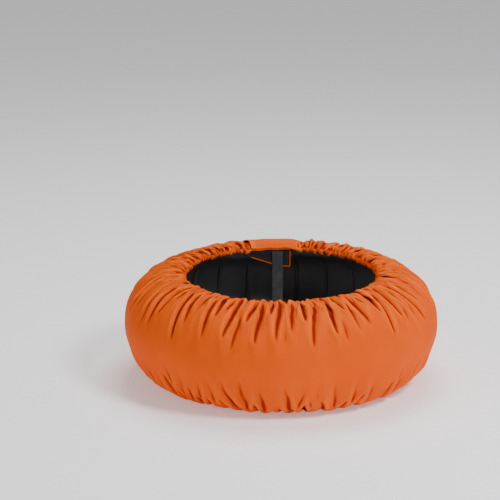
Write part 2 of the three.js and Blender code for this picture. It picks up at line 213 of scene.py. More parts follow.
class Paint:
    """One material: a Principled shader and the nodes that feed it."""

    def __init__(self, name, colour, roughness, **fixed):
        self.material = bpy.data.materials.new(name)
        self.material.use_nodes = True
        self.nodes = self.material.node_tree.nodes
        self.shader = self.nodes["Principled BSDF"]
        self.feed("Base Color", colour)
        self.feed("Roughness", roughness)
        for socket, value in fixed.items():
            self.feed(socket.replace("_", " "), value)
        self.material.diffuse_color = (*colour, 1)

    def feed(self, name, value):
        self.join(self.shader.inputs[name], value)

    def join(self, socket, value):
        if isinstance(value, Wire):
            self.material.node_tree.links.new(value.socket, socket)
        elif isinstance(value, (tuple, list)) and len(value) == 3 and socket.type == "RGBA":
            socket.default_value = (*value, 1)
        else:
            socket.default_value = value

    def add(self, kind, settings, *values, out=0, **named):
        node = self.nodes.new(kind)
        for name, value in settings.items():
            setattr(node, name, value)
        for socket, value in zip(node.inputs, values):
            self.join(socket, value)
        for name, value in named.items():
            self.join(node.inputs[name.replace("_", " ")], value)
        return Wire(self, node.outputs[out])

    def place(self, kind="Object"):
        return self.add("ShaderNodeTexCoord", {}, out=kind)

    def apart(self, vector):
        """The three numbers of a vector."""
        node = self.nodes.new("ShaderNodeSeparateXYZ")
        self.join(node.inputs[0], vector)
        return [Wire(self, out) for out in node.outputs]

    def noise(self, place, scale, detail=2.0, roughness=0.5):
        return self.add(
            "ShaderNodeTexNoise", {}, Vector=place, Scale=scale, Detail=detail, Roughness=roughness)

    def blend(self, share, first, second):
        node = self.nodes.new("ShaderNodeMix")
        node.data_type = "RGBA"
        for socket, value in zip((node.inputs[0], node.inputs[6], node.inputs[7]), (share, first, second)):
            self.join(socket, value)
        return Wire(self, node.outputs[2])

    def relief(self, height, strength, distance, under=None):
        """A Bump node that feeds the shader's normal."""
        named = {} if under is None else {"Normal": under}
        bump = self.add("ShaderNodeBump", {}, Strength=strength, Distance=distance, Height=height, **named)
        self.feed("Normal", bump)
        return bump


floor_paint = Paint(
    "pale floor", (0.95, 0.95, 0.95), 0.7, Emission_Color=(1.0, 1.0, 1.0), Emission_Strength=0.3)
floor.data.materials.append(floor_paint.material)

# %% [markdown]
# The cover
#
# The real cover is one long strip of coated nylon, cut straight and wide enough to
# go round the tread. At both edges an elastic pulls that same length into the much
# smaller mouth, so the cloth there has nowhere to go but into folds.
# Folds like these could be drawn with waves, but they would all look alike. So the
# strip is simulated: a grid of points with the distances of the flat cloth between
# them is laid over the belt, the edges are drawn in, and the points are moved until
# the distances are right again. The folds then come about as they do in the cloth.

# %% The flat strip and the body under it
CUT = 0.346  # the strip's length is once round this radius
SLACK = 0.10  # spare cloth across the strip near each edge
RECESS = 0.006  # the tongue lies this much lower, under the flap
HEM_UP, HEM_DOWN = HEM_TOP - 0.002, 0.0045
TILT = 0.005  # the crest stands this much higher at the closure, and lower opposite it
LOW_FULLNESS = 2.05
GATHER_START = TONGUE_END + OVERLAP + 1 + RAMP
GATHER_END = TONGUE_END + 360 - RAMP
FLAP_END = TONGUE_END + 360 + OVERLAP
PUFF = 0.005  # the crest stands this much higher than the belt inside asks
HEM_RING = MOUTH + 0.0045  # radius of the middle of the turned edges
FLOOR_GAP = 0.0004  # the cloth stays this far above the floor


def gather_depth(turn):
    deep = np.where(turn > 0, 0.0075, 0.0045)
    return deep * smooth(np.abs(turn), 4, 66)


def rows_of(count):
    """Rows that are equally far apart from the upper hem over the tread to the lower hem:
    radius, height, outward direction and turn, and the length across the strip."""
    turn = np.linspace(88, -88, 2001)
    full = np.array([*section(turn, PUFF, LOW_FULLNESS), turn])
    share = np.linspace(0, 1, 200)[:-1]

    def hem(side, height):
        r0, z0 = HEM_RING, height
        r1, z1 = full[:2, 0 if side > 0 else -1]
        lean = np.radians(118 - 28 * share)
        return np.array([r0 + (r1 - r0) * share, z0 + (z1 - z0) * np.sin(share * np.pi / 2) ** 0.9,
                         np.cos(lean), side * np.sin(lean), side * (110 - 20 * share)])

    path = np.hstack([hem(1, HEM_UP), full, hem(-1, HEM_DOWN)[:, ::-1]])
    length = np.append(0, np.cumsum(np.hypot(*np.diff(path[:2], axis=1))))
    rows = np.array([np.interp(np.linspace(0, length[-1], count), length, line) for line in path])
    rows[1] = np.maximum(rows[1], 0)
    rows[2:4] /= np.hypot(rows[2], rows[3])
    return (*rows, length[-1])


# %% [markdown]
# The links between points act like threads: they may not stretch, and they resist
# being pushed together a little. The loops over them work on whole slices of the
# grid at once, every second link at a time, so no point is moved twice in one sum.


# %% Threads
def link(points, one, other, rest, stiff, push=1.0):
    """Moves both ends of each thread towards its rest length. push is its share when it is short."""
    a, b = points[one], points[other]
    way = b - a
    length = np.sqrt(np.einsum("ijk,ijk->ij", way, way)) + 1e-9
    off = (length - rest) / length
    firm = stiff if push == 1.0 else np.where(off > 0, stiff, stiff * push)
    way *= (0.5 * firm * off)[..., None]
    a += way
    b -= way


def outward(points):
    """The cloth's outward direction at each point of the grid."""
    along, across = np.gradient(points, axis=1), np.gradient(points, axis=0)
    out = np.cross(across, along)
    return out / (np.linalg.norm(out, axis=2, keepdims=True) + 1e-12)


def uneven_count(rng, columns, count, spread):
    """A phase that rises by count waves over the columns, faster here and slower there."""
    way = np.linspace(0, TURN, columns)
    waves = (rng.uniform(-1, 1) * np.sin(k * way + rng.uniform(0, TURN)) for k in range(3, 26, 2))
    pace = 1 + spread / 3 * sum(waves)
    phase = np.cumsum(np.clip(pace, 0.45, 1.8))
    return phase / phase[-1] * count * TURN


# %% [markdown]
# The strip starts as rows and columns laid on the belt, and the length of each
# thread between neighbours comes from the flat cloth. Every step lets the points
# drift on and blows them out a little. Then it sweeps over the threads, the bending,
# the hems and the belt, so that all of them hold at the end.

# %% The strip as a grid of points
class Strip:
    """The cover's cloth: a grid of rows from hem to hem and columns from the tongue to the flap."""

    def __init__(self, columns, rows, wide, fine, points=None, seed=4):
        rng = np.random.default_rng(seed)
        self.angle = np.linspace(TONGUE_END, FLAP_END, columns)
        theta = np.radians(self.angle)
        step = theta[1] - theta[0]
        self.ring = np.stack([np.cos(theta), np.sin(theta)], axis=1)
        r, z, nr, nz, turn, length = rows_of(rows)
        start, end = TONGUE_END + OVERLAP + 1, GATHER_END
        self.gather = smooth(self.angle, start - 3, start + 3) * (1 - smooth(self.angle, end, end + RAMP))
        tongue = 1 - smooth(self.angle, start, start + 0.5 * RAMP)
        fit = r[:, None] * step
        along = fit + self.gather * (CUT * step - fit)
        self.along = 0.5 * (along[:, 1:] + along[:, :-1])
        self.row_gap = length / (rows - 1)
        middle = (np.arange(rows - 1) + 0.5) * self.row_gap
        near_hem = np.exp(-middle / 0.035) + np.exp(-(length - middle) / 0.035)
        self.across = self.row_gap * (1 + SLACK * near_hem[:, None] * self.gather)
        self.inset = 0.0012 + gather_depth(turn)[:, None] * self.gather + RECESS * tongue
        self.tilt = TILT * self.ring[:, 1]
        lift = self.tilt * smooth(z, HEIGHT / 2, HEIGHT)[:, None]
        self.hold = 0.5 * ((1 - self.gather) ** 0.5)[:, None]
        share = np.linspace(0, 1, rows)
        upper, lower = share * length, (1 - share) * length
        waves = (rng.uniform(-1, 1) * np.sin(k * theta + rng.uniform(0, TURN)) for k in (2, 3, 5, 7, 11))
        lean = sum(waves) / 2
        round_trip = (FLAP_END - TONGUE_END) / 360

        def folds(count, way, slant, spread):
            phase = uneven_count(rng, columns, count * round_trip, spread)
            return 0.5 + 0.5 * np.cos(phase + slant * lean * way[:, None])

        def on_body(out):
            big, tall = r[:, None] + nr[:, None] * out, z[:, None] + nz[:, None] * out + lift
            tall = np.maximum(tall, FLOOR_GAP)
            return np.stack([big * self.ring[:, 0], big * self.ring[:, 1], tall], axis=2)

        self.flat = on_body(-self.inset)
        loose = np.exp(-upper / 0.03)[:, None] * (1 - self.gather)
        self.flat[..., 2] += 0.0013 * np.sin(theta * 34) * loose
        if points is None:
            top, bottom = folds(wide[0], upper, 60, 0.9), folds(wide[1], lower, 60, 0.9)
            pattern = np.where((share < 0.53)[:, None], top, bottom)
            tall = TURN * r / wide[0] / np.pi * np.sqrt(np.clip(TREAD / r - 1, 0, None)) * 1.7
            rough = rng.normal(0, 0.0002, pattern.shape)
            points = on_body(-self.inset + (tall[:, None] * pattern + rough) * self.gather)
        else:
            for axis, count in ((0, rows), (1, columns)):
                place = np.linspace(0, points.shape[axis] - 1, count)
                below = np.minimum(place.astype(int), points.shape[axis] - 2)
                part = (place - below)[(..., None, None) if axis == 0 else (None, ..., None)]
                points = points.take(below, axis) * (1 - part) + points.take(below + 1, axis) * part
            puckers = sum(
                np.exp(-way / 0.016)[:, None] * (folds(fine, way, 0, 0.8) - 0.5) for way in (upper, lower))
            way_out = on_body(1.0 - self.inset) - self.flat
            points = points + 0.0055 * (puckers * self.gather)[..., None] * way_out
        for name in ("ring", "gather", "along", "across", "inset", "tilt", "hold", "flat"):
            setattr(self, name, getattr(self, name).astype(np.float32))
        self.points = points.astype(np.float32)

    def stay_outside(self):
        """Pushes points out of the belt, towards the nearest place on its section."""
        x, y, z = np.moveaxis(self.points, 2, 0)
        radius = np.sqrt(x * x + y * y)
        dr, dz = radius - CREST, z - HEIGHT / 2
        reach = np.where(dr > 0, TREAD - CREST - self.inset, 0.034)
        rise = HEIGHT / 2 - self.inset + np.where(dz < 0, PRESS, PUFF + self.tilt)
        full = np.where(dz < 0, LOW_FULLNESS, FULLNESS)
        a, b = np.abs(dr / reach), np.abs(dz / rise)
        total = a**full + b**full
        level = total ** (1 / full)
        ga = a ** (full - 1) * np.sign(dr) / reach
        gb = b ** (full - 1) * np.sign(dz) / rise
        step = (1 - level) / ((ga * ga + gb * gb + 1e-6) * level ** (1 - full) + 1e-9)
        step = np.where((total < 1) & (level > 0.5), np.minimum(step, 0.004), 0)
        self.points[..., 0] += ga * step * x / radius
        self.points[..., 1] += ga * step * y / radius
        self.points[..., 2] = np.maximum(z + gb * step, FLOOR_GAP)

    def settle(self, steps, sweeps, pressure, stiffer, firm_hem):
        points, along, across, gap = self.points, self.along, self.across, self.row_gap
        rows, columns = points.shape[:2]
        slanted = np.hypot(0.5 * (along[1:] + along[:-1]), gap).astype(np.float32)
        two_along, two_across = along[:, 1:] + along[:, :-1], across[1:] + across[:-1]
        heights = ((0, HEM_UP - 0.002 + self.tilt), (rows - 1, HEM_DOWN + 0 * self.tilt))
        hems = [(row, np.column_stack([self.ring * HEM_RING, height])) for row, height in heights]
        air = pressure * self.gather[:, None] * np.where(np.arange(rows) < 0.55 * rows, 1, 0.3)[:, None, None]
        air = air.astype(np.float32)
        before = points.copy()
        for _ in range(steps):
            momentum = 0.85 * (points - before)
            before = points.copy()
            points += np.clip(momentum, -0.002, 0.002) + outward(points) * air
            points[..., 2] -= 0.00001
            for _ in range(sweeps):
                for o in (0, 1):
                    link(points, np.s_[:, o:columns - 1:2], np.s_[:, o + 1::2], along[:, o::2], 1.0, 0.9)
                for o in (0, 1):
                    link(points, np.s_[o:rows - 1:2], np.s_[o + 1::2], across[o::2], 1.0, 0.6)
                    link(points, np.s_[o:rows - 1:2, :-1], np.s_[o + 1::2, 1:], slanted[o::2], 0.15)
                    link(points, np.s_[o:rows - 1:2, 1:], np.s_[o + 1::2, :-1], slanted[o::2], 0.15)
                for o in range(4):
                    end = o + 4 * len(range(o, columns - 2, 4))
                    link(points, np.s_[:, o:end:4], np.s_[:, o + 2:end + 2:4], two_along[:, o::4], 0.1)
                    end = o + 4 * len(range(o, rows - 2, 4))
                    link(points, np.s_[o:end:4], np.s_[o + 2:end + 2:4], two_across[o::4], 0.25)
                for line, firm in ((np.swapaxes(points, 0, 1), stiffer[0]), (points, stiffer[1])):
                    bend = line[:-4] - 4 * line[1:-3] + 6 * line[2:-2] - 4 * line[3:-1] + line[4:]
                    line[2:-2] -= firm * bend
                for row, place in hems:
                    points[row] += (place - points[row]) * firm_hem
                self.stay_outside()
                points += (self.flat - points) * self.hold


# %% [markdown]
# The cloth settles twice: first as a coarse grid, which finds the large folds fast,
# then as a fine one that starts from it and gets the small puckers at the hems.
# A low wave on top crumples the rim, as on a cover that has often been used.

# %% The simulation
clock = time.time()
strip = Strip(760, 60, wide=(92, 76), fine=110)
strip.settle(50, 8, pressure=0.000035, stiffer=(0.02, 0.004), firm_hem=0.3)
strip = Strip(1080, 74, wide=(92, 76), fine=110, points=strip.points)
strip.settle(35, 6, pressure=0.00002, stiffer=(0.008, 0.003), firm_hem=0.08)
sheet = strip.points
print("cover settled in", round(time.time() - clock, 1), "s")

# %% The crumpled rim
RIM_LUMP, RIM_REACH, HEM_REACH = 0.0075, 0.035, 0.008
rng = np.random.default_rng(12)
one, other = (uneven_count(rng, sheet.shape[1], count, 0.9) for count in (31, 53))
upper = (np.arange(len(sheet)) * strip.row_gap)[:, None]
crumple = np.cos(one + 95 * upper) * np.cos(other - 70 * upper) + 0.4 * np.cos(one + 2 * other - 160 * upper)
near_rim = np.exp(-upper / RIM_REACH) * (1 - np.exp(-upper / HEM_REACH))
crumple *= strip.gather * near_rim * (0.75 + 0.25 * strip.ring[:, 1])
sheet += RIM_LUMP * crumple[..., None] * outward(sheet)
print("highest point", sheet[..., 2].max())

# %% [markdown]
# Each long edge is turned in over its elastic, and each end is turned in over
# itself, so no raw edge shows. The grid gets a few more rows there, which curl under.


# %% Turned edges and the mesh
def turned_edge(points, radius, side=1, count=6, arc=235):
    """New rows that curl inwards from the first row of the grid, the farthest first."""
    way, out = points[0] - points[2], side * outward(points)[0]
    for line in (way, out):
        for _ in range(6):
            line[1:-1] = (line[:-2] + line[1:-1] + line[2:]) / 3
        line /= np.linalg.norm(line, axis=1, keepdims=True)
    turn = np.radians(np.linspace(arc, arc / count, count))[:, None, None]
    return points[0] + radius[:, None] * (np.sin(turn) * way - (1 - np.cos(turn)) * out)


def grid_faces(rows, columns):
    index = np.arange(rows * columns).reshape(rows, columns)
    return np.stack([index[:-1, :-1], index[1:, :-1], index[1:, 1:], index[:-1, 1:]], axis=-1).reshape(-1, 4)


def grid_uv(points):
    """Metres along the strip and across it, as the cloth itself counts them."""
    rows, columns = points.shape[:2]
    across = np.append(0, np.cumsum(np.linalg.norm(np.diff(points[:, columns // 2], axis=0), axis=1)))
    along = np.linspace(0, CUT * math.radians(FLAP_END - TONGUE_END), columns)
    return np.stack(np.meshgrid(along, across), axis=-1).reshape(-1, 2)


GLAND = Vector((math.cos(math.radians(125)), math.sin(math.radians(125)), 0))


def from_gland(points):
    """How far each point lies from the line that the cable gland stands on."""
    side = points[..., 1] * GLAND.x - points[..., 0] * GLAND.y
    behind = points @ np.array(GLAND) < 0
    return np.hypot(side, points[..., 2] - 0.12) + behind


radius = np.hypot(sheet[..., 0], sheet[..., 1])
pressed = 1 - smooth(from_gland(sheet), 0.012, 0.050)
sheet[..., :2] *= (1 + pressed * (0.3396 / radius - 1))[..., None]
frill = 0.5 + 0.5 * np.cos(uneven_count(np.random.default_rng(9), sheet.shape[1], 165, 0.8))
roll = 0.0024 + (0.0008 + 0.0026 * frill) * strip.gather
upper_hem = turned_edge(sheet, roll)
lower_hem = turned_edge(sheet[::-1], roll, side=-1)[::-1]
cloth = np.concatenate([upper_hem, sheet, lower_hem])
cloth[..., 2] = np.maximum(cloth[..., 2], 0.0003)
faces = grid_faces(*cloth.shape[:2])
open_cloth = from_gland(cloth.reshape(-1, 3)[faces].mean(axis=1)) > 0.0062
cover = mesh_piece("cover", cloth.reshape(-1, 3), faces[open_cloth], grid_uv(cloth))
# How deep each point lies in a valley or how high it stands on a ridge. The cover's material turns this into
# painted shade in the valleys and a painted highlight on the ridges.
hollow = np.zeros(cloth.shape[:2])
hollow[2:-2, 3:-3] = np.einsum("ijk,ijk->ij", outward(cloth)[2:-2, 3:-3],
                               (cloth[2:-2, 6:] + cloth[2:-2, :-6]) / 2 - cloth[2:-2, 3:-3])
ridge = cover.data.attributes.new("ridge", "FLOAT", "POINT")
ridge.data.foreach_set("value", np.clip(0.5 - hollow / 0.006, 0, 1).astype(np.float32).ravel())
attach(cover, "root")
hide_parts("outer_cover")

# %% [markdown]
# The cloth is a fine plain weave with a matt coating. Close by, its threads show as
# a faint grid, which a bump on the strip's own UV map gives, so the grid follows
# every fold. From afar the colour wanders a little. A painted highlight makes the fold
# ridges and the turned-in edges paler, and painted shade darkens the valleys and the
# creases near the hems.


# %% Cover cloth
def woven(name, colour, pale, roughness, thread, **fixed):
    """A plain weave: threads over and under along the strip's own UV map, and a wandering colour."""
    paint = Paint(name, colour, roughness, **fixed)
    along, across, _ = paint.apart(paint.place("UV"))
    grid = (across * (TURN / thread)).wave() * (along * (TURN / thread)).wave()
    place = paint.place()
    patches = paint.noise(place, 9.0, 4.0)
    grain = paint.noise(place, 320.0, 2.0)
    paint.feed("Base Color", paint.blend(patches.ramp(0.3, 0.75, 0.0, 0.6) + grid * 0.04, colour, pale))
    paint.feed("Roughness", roughness - 0.08 * patches.ramp(0.3, 0.8) + 0.1 * grain)
    return paint, (along, across, grid, grain, place)


def last_colour(paint):
    return Wire(paint, paint.shader.inputs["Base Color"].links[0].from_socket)


cover_cloth, (along, across, grid, grain, place) = woven(
    "cover cloth", (0.76, 0.084, 0.0), (0.87, 0.112, 0.0), 0.7, 0.0011, Specular_IOR_Level=0.05)
# Painted light on the cover: the pale colour is a painted highlight for fold ridges and turned edges, and the
# dark colour is painted shade for valleys and creases.
RIDGE_HIGHLIGHT, CREASE_SHADE = (0.95, 0.175, 0.004), (0.24, 0.009, 0.0)
ridge = cover_cloth.add("ShaderNodeAttribute", {"attribute_name": "ridge"}, out="Fac")
# The ramps on along and across are in metres of the flat strip.
gathered = along.ramp(0.14, 0.18) * along.ramp(2.15, 2.09)
near_hem = (across.ramp(0.19, 0.02) + across.ramp(0.33, 0.43)) * gathered
stretched = cover_cloth.add("ShaderNodeMapping", {}, Vector=cover_cloth.place("UV"), Scale=(46.0, 11.0, 1.0))
wrinkle = cover_cloth.noise(stretched, 1.0, 3.0, 0.5)
crease = (wrinkle - 0.5).size().ramp(0.0, 0.11)
turned_in = (across.ramp(0.022, 0.017) + along.ramp(2.30, 2.305)) * (1 - gathered)
# Painted highlight: fold ridges and the turned-in edges are blended towards the pale colour.
with_highlights = cover_cloth.blend(
    ridge.ramp(0.56, 0.85, 0.0, 0.55) + turned_in * 0.5, last_colour(cover_cloth), RIDGE_HIGHLIGHT)
# Painted shade: the valleys of the folds and the crease lines near the hems are blended towards the dark
# colour.
cover_cloth.feed("Base Color", cover_cloth.blend(
    ridge.ramp(0.40, 0.10, 0.0, 0.9) + (1 - crease) * near_hem * 0.4, with_highlights, CREASE_SHADE))
slow = cover_cloth.noise(place, 40.0, 3.0, 0.5)
first = cover_cloth.relief(slow, 0.3, 0.002)
second = cover_cloth.relief((1 - near_hem) + crease * near_hem + wrinkle * near_hem, 0.8, 0.003, under=first)
cover_cloth.relief(grid * 0.5 + grain * 0.7, 0.3, 0.0002, under=second)
cover.data.materials.append(cover_cloth.material)

# %% [markdown]
# The lining
#
# Inside is a black heat-proof cloth. It lies over the felt and the heating wire, so
# the wire's runs show through it as low ribs, and towards the hems it is gathered
# with the cover. A plain grid on the section is enough, moved in and out by waves.


# %% Lining
def ring_grid(angles, rows):
    """Points from rows of (radius, height), each a number or a line over the angles."""
    theta = np.radians(angles)
    r = np.array([row[0] + 0 * theta for row in rows])
    z = np.array([row[1] + 0 * theta for row in rows])
    return np.stack([r * np.cos(theta), r * np.sin(theta), z], axis=2)


def layer(angles, turns, inset, wrinkle=0.0, puff=0.0, seed=7):
    """A layer of the belt, drawn in from the cover's full section."""
    rng = np.random.default_rng(seed)
    recess = RECESS * (1 - smooth(angles, TONGUE_END + OVERLAP + 1, GATHER_START))
    theta = np.radians(angles)
    waves = [uneven_count(rng, len(angles), count, 0.6) for count in (62, 97)]
    rows = []
    for turn in turns:
        r, z, nr, nz = section(turn, puff, LOW_FULLNESS)
        skirt = smooth(abs(turn), 45, 75)
        lean = 3.0 * np.sin(3 * theta + 1) * np.radians(abs(turn))
        fold = np.cos(waves[0] + lean) * 0.7 + np.cos(waves[1] - lean) * 0.3
        slow = np.sin(waves[0] / 5 + turn / 9) * np.sin(waves[1] / 7 - turn / 13)
        deep = inset(turn) + recess + wrinkle * (skirt * (1 + fold) + 0.3 * slow)
        rows.append((r - nr * deep, z - nz * deep))
    return ring_grid(angles, rows)


def lining_inset(turn):
    belt = 1 - smooth(np.abs(turn), 52, 66)
    press = PRESS * smooth(-turn, 40, 76)
    return 0.0027 + gather_depth(turn) + belt * (0.008 + 0.0032 + 0.0032) + press + 0.0006


lining_angles = np.linspace(TONGUE_END - 0.5, TONGUE_END + 360, 620)
lining_points = layer(lining_angles, np.linspace(88, -88, 70), lining_inset, 0.0012)
lining = mesh_piece("lining", lining_points.reshape(-1, 3), grid_faces(*lining_points.shape[:2]),
                    grid_uv(lining_points))
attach(lining, "root")
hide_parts("inner_lining")
lining_cloth, (along, across, grid, grain, _) = woven(
    "lining cloth", (0.014, 0.014, 0.015), (0.034, 0.034, 0.036), 0.5, 0.0016)
WIRE_FROM, WIRE_TO, WIRE_RUNS, FIRST_RUN = 137, 438, 24, 0.334
run = (WIRE_TO - WIRE_FROM) / WIRE_RUNS / 360.5 * CUT * math.radians(FLAP_END - TONGUE_END)
runs = (along - FIRST_RUN) * (1 / run)
over_wire = runs.maths("FRACT", runs) - 0.5
on_belt = across.ramp(0.085, 0.10) * across.ramp(0.275, 0.26)
rib = over_wire.size().ramp(0.09, 0.0) * on_belt
first = lining_cloth.relief(rib, 0.8, 0.0025)
lining_cloth.relief(grid * 0.5 + grain * 0.7, 0.4, 0.0003, under=first)
lining.data.materials.append(lining_cloth.material)

# %% [markdown]
# Between the cover and the lining lies the felt that keeps the heat in. It is cut
# from a sheet about 7 mm thick, so it is built as a closed slab between two depths
# under the section. It ends before the hems, where the cloth is gathered.

# %% Felt
def slab(name, angles, half_turn, outer, inner, rows=24, puff=0.0):
    """A closed layer between two depths under the cover's section."""
    columns = len(angles)
    top = layer(angles, np.linspace(half_turn, -half_turn, rows), outer, puff=puff)
    under = layer(angles, np.linspace(-half_turn, half_turn, rows), inner, puff=puff)
    loop = np.concatenate([top, under])
    faces = (grid_faces(2 * rows + 1, columns) % (2 * rows * columns)).tolist()
    start = list(range(0, len(loop) * columns, columns))
    end = list(range(columns - 1, len(loop) * columns, columns))[::-1]
    uv = np.concatenate([grid_uv(top), grid_uv(top)])
    return mesh_piece(name, loop.reshape(-1, 3), faces + [start, end], uv)


felt = slab("felt", np.linspace(TONGUE_END + 1, TONGUE_END + 358, 300), 50,
            lambda turn: 0.0028 + gather_depth(turn), lambda turn: 0.0102 + gather_depth(turn))
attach(felt, "root")
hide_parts("felt_insulation")
felt_paint = Paint("grey felt", (0.2, 0.2, 0.2), 0.9)
fibres = felt_paint.noise(felt_paint.place(), 700.0, 5.0, 0.7)
felt_paint.feed("Base Color", felt_paint.blend(
    fibres.ramp(0.35, 0.65), (0.15, 0.145, 0.14), (0.33, 0.32, 0.31)))
felt_paint.relief(fibres, 0.8, 0.0008)
felt.data.materials.append(felt_paint.material)

# %% [markdown]
# The flap is held by touch tape: hooks are sewn under the flap and loops on top of
# the tongue. Both are thin slabs that follow the section, made with the same tool
# as the felt, and their nap is a fine noise.

# %% Touch tapes
tape_paint = Paint("touch tape", (0.014, 0.014, 0.015), 0.85)
loops = tape_paint.noise(tape_paint.place(), 900.0, 4.0, 0.7)
tape_paint.feed("Base Color", tape_paint.blend(
    loops.ramp(0.35, 0.7), (0.008, 0.008, 0.008), (0.04, 0.04, 0.042)))
tape_paint.relief(loops, 0.9, 0.001)
for name, node, start, outer, inner in (
    ("hooks", "hook_tape", FLAP_END - 10.5, 0.0018, 0.0033),
    ("loops", "loop_tape", FLAP_END - 370.5, -0.0018, -0.0003),
):
    tape = slab(name, np.linspace(start, start + 9, 20), 65, lambda turn: outer, lambda turn: inner,
                puff=PUFF + TILT)
    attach(tape, "root")
    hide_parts(node)
    tape.data.materials.append(tape_paint.material)

# %% [markdown]
# Cords and bands
#
# An elastic cord lies in each turned edge, an orange piping follows the tongue's
# free edge, and a webbing strap hangs from the tongue. A cord is a ring of points
# carried along a path, and a band is a flat outline carried the same way. The path
# is first made smooth, so that neither shows a corner.


# %% Cords and bands
def smooth_path(points, count):
    """A smooth curve through the points, told at evenly spaced places."""
    points = np.asarray(points, dtype=float)
    padded = np.vstack([2 * points[0] - points[1], points, 2 * points[-1] - points[-2]])
    t = np.linspace(0, 1, 24, endpoint=False)[:, None]
    spans = []
    for a, b, c, d in zip(padded, padded[1:], padded[2:], padded[3:]):
        second, third = 2 * a - 5 * b + 4 * c - d, 3 * b - a - 3 * c + d
        spans.append(0.5 * (2 * b + (c - a) * t + second * t**2 + third * t**3))
    curve = np.vstack([*spans, points[-1:]])
    length = np.append(0, np.cumsum(np.linalg.norm(np.diff(curve, axis=0), axis=1)))
    place = np.linspace(0, length[-1], count)
    return np.column_stack([np.interp(place, length, curve[:, k]) for k in range(3)])


def carried(name, path, outline, side):
    """An outline, in (side, over) pairs, carried along a path. side is the band's wide direction."""
    path = np.asarray(path, dtype=float)
    ahead = np.gradient(path, axis=0)
    ahead /= np.linalg.norm(ahead, axis=1, keepdims=True)
    side = side - ahead * np.sum(side * ahead, axis=1, keepdims=True)
    side /= np.linalg.norm(side, axis=1, keepdims=True)
    over = np.cross(ahead, side)
    outline = np.asarray(outline)
    points = path[:, None] + outline[None, :, :1] * side[:, None] + outline[None, :, 1:] * over[:, None]
    rows, around = points.shape[:2]
    index = np.arange(rows * around).reshape(rows, around)
    nxt = np.roll(index, -1, axis=1)
    faces = np.stack([index[:-1], nxt[:-1], nxt[1:], index[1:]], axis=-1).reshape(-1, 4).tolist()
    faces += [index[0, ::-1].tolist(), index[-1].tolist()]
    length = np.append(0, np.cumsum(np.linalg.norm(np.diff(path, axis=0), axis=1)))
    uv = np.stack([np.repeat(outline[None, :, 0], rows, 0), np.repeat(length[:, None], around, 1)], axis=-1)
    return mesh_piece(name, points.reshape(-1, 3), faces, uv.reshape(-1, 2))


def round_outline(radius, sides=10):
    turn = np.linspace(0, TURN, sides, endpoint=False)
    return np.column_stack([radius * np.cos(turn), radius * np.sin(turn)])


def flat_outline(width, thick, steps=8):
    """A band's outline with rounded edges."""
    half = width / 2 - thick / 2
    across = np.linspace(-half, half, steps)
    bend = np.radians([-60, -30, 0, 30, 60])
    right = np.column_stack([half + thick / 2 * np.cos(bend), thick / 2 * np.sin(bend)])
    upper = np.column_stack([across[::-1], np.full(steps, thick / 2)])
    return np.vstack([right, upper, -right, -upper])


def at(radius, height, angle):
    turn = math.radians(angle)
    return (radius * math.cos(turn), radius * math.sin(turn), height)


def outwards(path):
    """The ring's outward direction at each point of a path."""
    away = np.column_stack([path[:, 0], path[:, 1], 0 * path[:, 2]])
    return away / np.hypot(path[:, 0], path[:, 1])[:, None]


def dressed(piece, paint, slot, *nodes):
    piece.data.materials.append(paint.material)
    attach(piece, "root")
    if nodes:
        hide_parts(*nodes)


# %% [markdown]
# The elastics are covered cords inside the turned edges. Each one runs along the
# middle of the curl, so it moves in and out with the folds, and is made smoother
# than they are, because a cord under tension can't follow the smallest ones.

# %% Elastic cords
elastic_paint = Paint("white elastic", (0.6, 0.57, 0.5), 0.8)
_, along, _ = elastic_paint.apart(elastic_paint.place("UV"))
elastic_paint.relief((along * (TURN / 0.0022)).wave(), 0.6, 0.0004)
for name, grid, side, node in (
    ("upper_elastic", sheet, 1, "top_elastic"),
    ("lower_elastic", sheet[::-1], -1, "bottom_elastic"),
):
    middle = (grid[0] - roll[:, None] * side * outward(grid)[0])[strip.gather > 0.97][::3][4:-4].astype(float)
    for _ in range(12):
        middle[1:-1] = (middle[:-2] + middle[1:-1] + middle[2:]) / 3
    middle[:, 2] = np.maximum(middle[:, 2], 0.0023)
    cord = carried(name, middle, round_outline(0.0014, 8), outwards(middle))
    dressed(cord, elastic_paint, "white_elastic", node)

# %% [markdown]
# The closure
#
# Under the flap lies the tongue, whose black lining hangs into the mouth with an
# orange piping on its free edge. The lining is a thin slab with a slight billow.

# %% Tongue lining
TONGUE_CORNERS = [(TONGUE_END + OVERLAP, 0.217), (94, 0.197), (88.5, 0.1935), (TONGUE_END + 0.4, 0.193)]
TONGUE_RADIUS, TONGUE_TOP = 0.2149, 0.2277
corner_angles, corner_heights = np.array(TONGUE_CORNERS[::-1]).T
tongue_angles = np.linspace(corner_angles[0], corner_angles[-1], 60)
tongue_low = np.interp(tongue_angles, corner_angles, corner_heights)
sides = []
for face in (1, -1):
    rows = []
    for share in np.linspace(0, 1, 14)[::-face]:
        billow = 0.0007 * np.sin(np.radians(tongue_angles) * 40) * (1 - share) + 0.0004 * np.sin(share * 5)
        height = tongue_low + share * (TONGUE_TOP - tongue_low)
        rows.append((TONGUE_RADIUS + face * 0.00055 + billow, height))
    sides.append(ring_grid(tongue_angles, rows))
loop = np.concatenate([*sides, sides[0][:1]])
faces = [tuple(f % (28 * 60)) for f in grid_faces(29, 60)]
caps = [tuple(range(0, 28 * 60, 60)), tuple(range(59, 28 * 60, 60))[::-1]]
loop_uv = np.tile(grid_uv(sides[0]), (2, 1))
tongue = mesh_piece("tongue_facing", loop[:28].reshape(-1, 3), faces + caps, loop_uv)
facing_cloth, (_, _, grid, grain, _) = woven(
    "facing cloth", (0.007, 0.007, 0.008), (0.014, 0.014, 0.015), 0.6, 0.0012, Specular_IOR_Level=0.3)
facing_cloth.relief(grid * 0.5 + grain * 0.7, 0.4, 0.0003)
dressed(tongue, facing_cloth, "black_lining", "tongue_lining")

# %% [markdown]
# The piping is a cord in a strip of the orange cloth, sewn into the tongue's edge.
# It follows the lower edge, turns the corner and climbs back under the flap.

